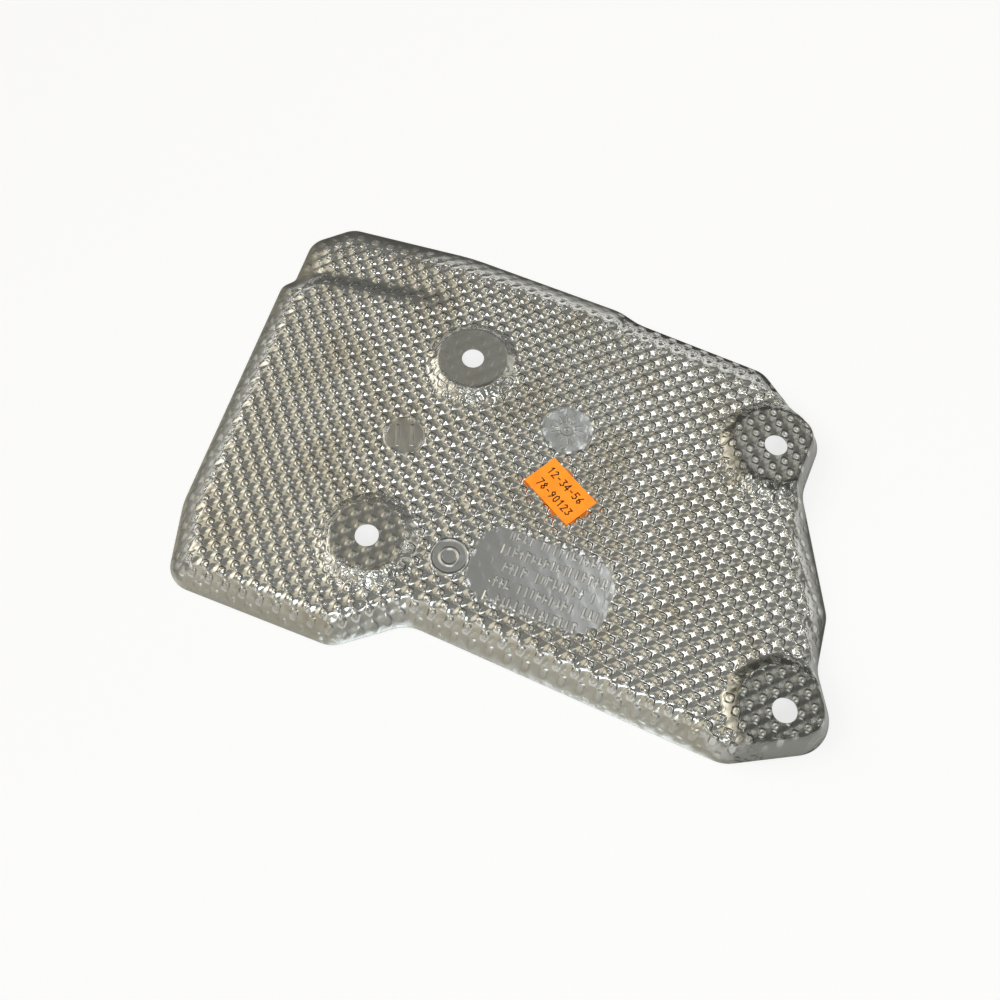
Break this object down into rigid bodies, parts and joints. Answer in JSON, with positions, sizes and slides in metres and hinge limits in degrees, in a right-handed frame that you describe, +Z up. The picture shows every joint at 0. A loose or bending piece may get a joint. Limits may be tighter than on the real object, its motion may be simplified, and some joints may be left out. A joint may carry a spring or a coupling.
{
  "type": "exhaust heat shield",
  "caption": "Pressed embossed aluminium heat shield with a rolled-down rim, raised bolt pads with plain bolt holes, flattened stamped fields and a stuck-on paper label.",
  "frame": {"origin": "middle of the sheet's box, at the foot of the rim that it lies on", "axes": "+Z up, out of the embossed face; +X along the long side, towards the two lugs; +Y away from the viewer of the picture"},
  "size_m": [0.2658, 0.2455, 0.0119],
  "materials": {
    "embossed_aluminium": "mill finish, embossed, slightly dulled",
    "orange_paper": "matt fluorescent orange paper"
  },
  "bodies": {
    "root": {"heat_shield": "embossed_aluminium", "paper_label": "orange_paper"}
  },
  "joints": []
}
